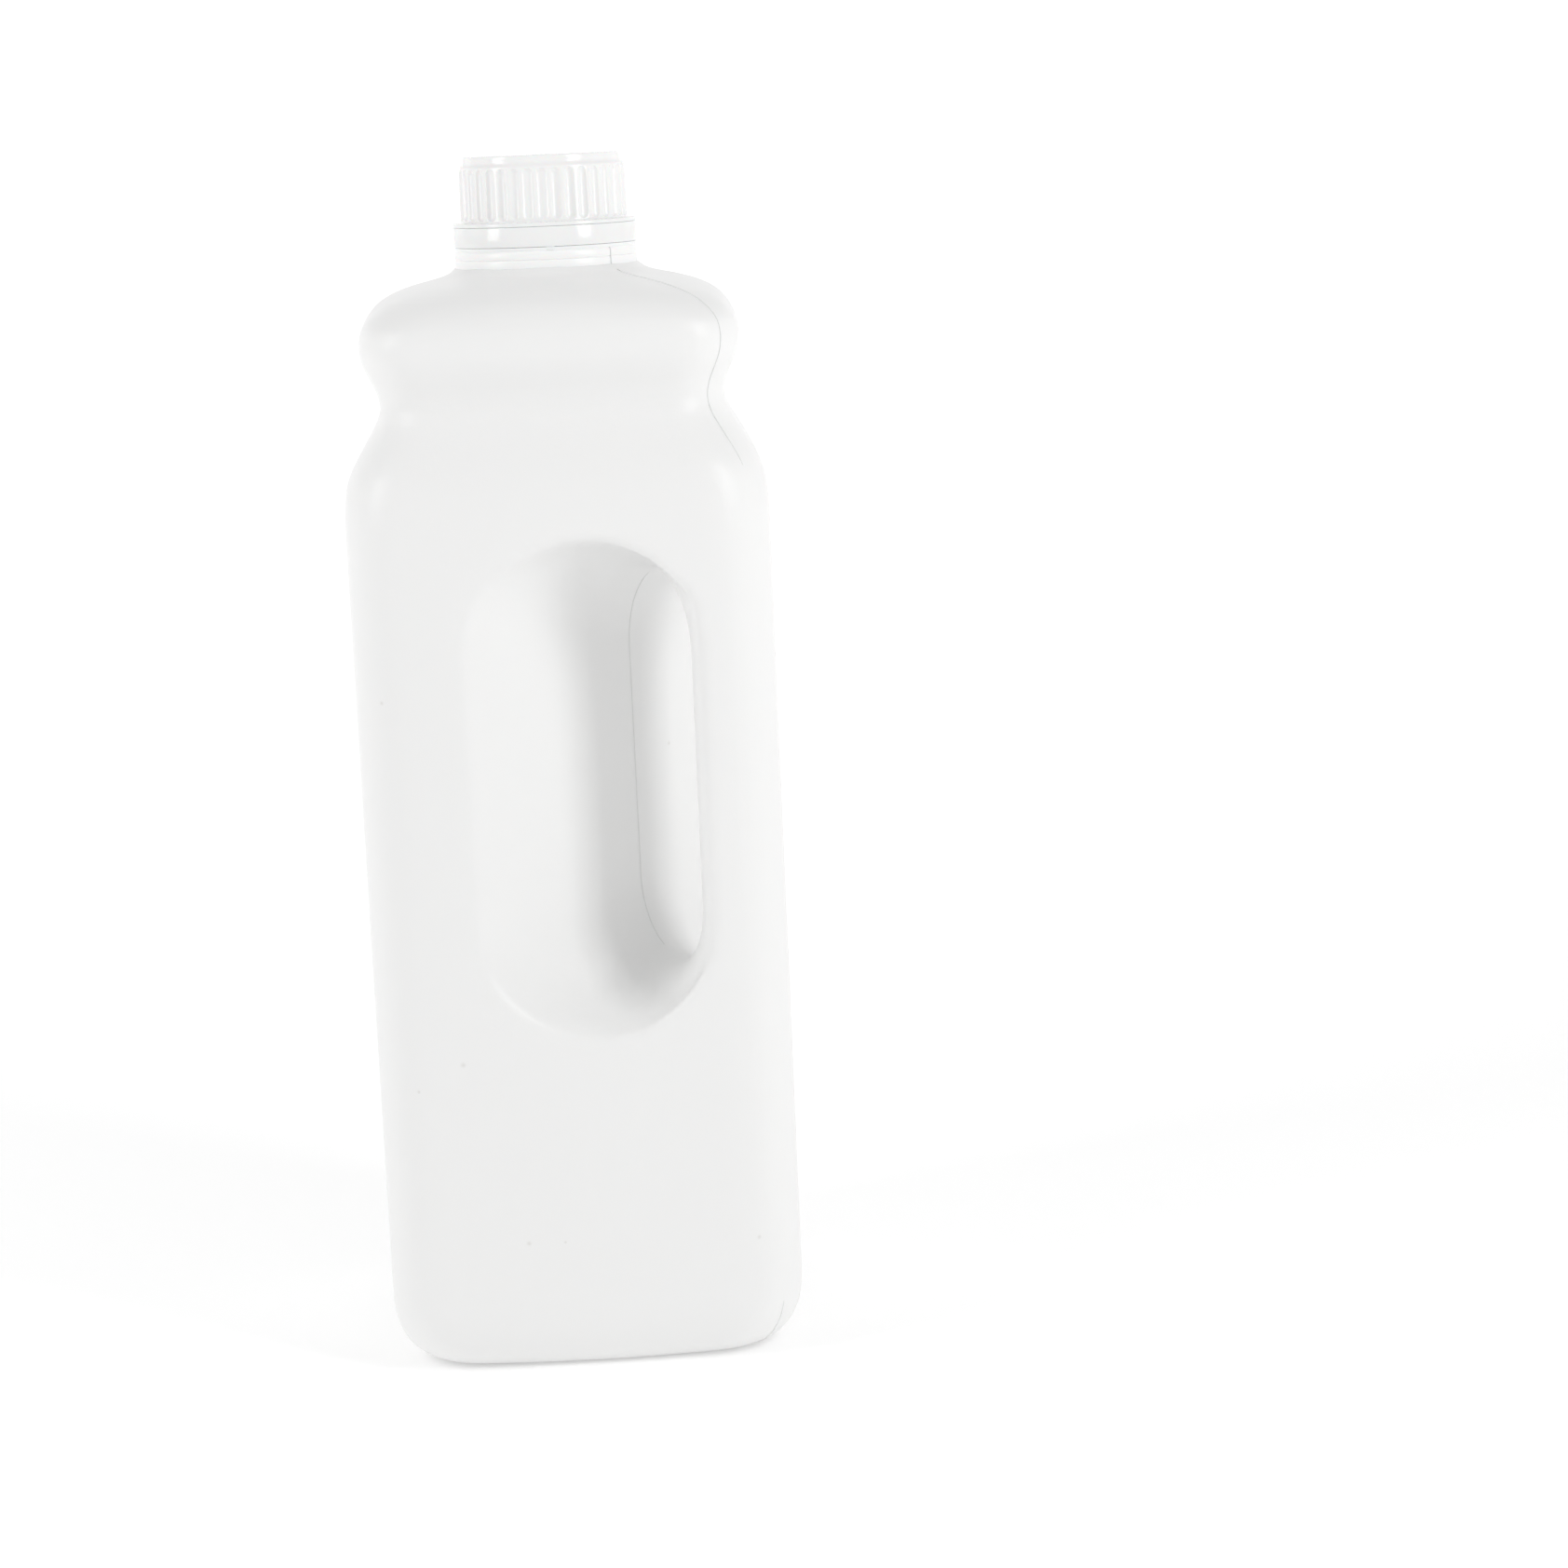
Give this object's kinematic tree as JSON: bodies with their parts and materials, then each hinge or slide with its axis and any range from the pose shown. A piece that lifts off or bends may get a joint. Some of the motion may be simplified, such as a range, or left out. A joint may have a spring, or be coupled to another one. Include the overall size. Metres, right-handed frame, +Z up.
{
  "type": "plastic storage container",
  "caption": "Square opaque plastic bottle with a waisted shoulder, a grip cut through one upright corner, a ribbed screw cap and a tamper ring.",
  "frame": {"origin": "middle of the flat base the bottle stands on", "axes": "+Z up through the cap, -Y out of the front face and +X out of the right face, with the grip corner between those two faces"},
  "size_m": [0.107, 0.107, 0.309],
  "materials": {
    "bottle_white": "semi-matte natural white, slightly translucent at the edges",
    "cap_white": "satin white, moulded",
    "band_white": "satin white, moulded"
  },
  "bodies": {
    "root": {"bottle": "bottle_white", "cap": "cap_white", "tamper_band": "band_white"}
  },
  "joints": []
}
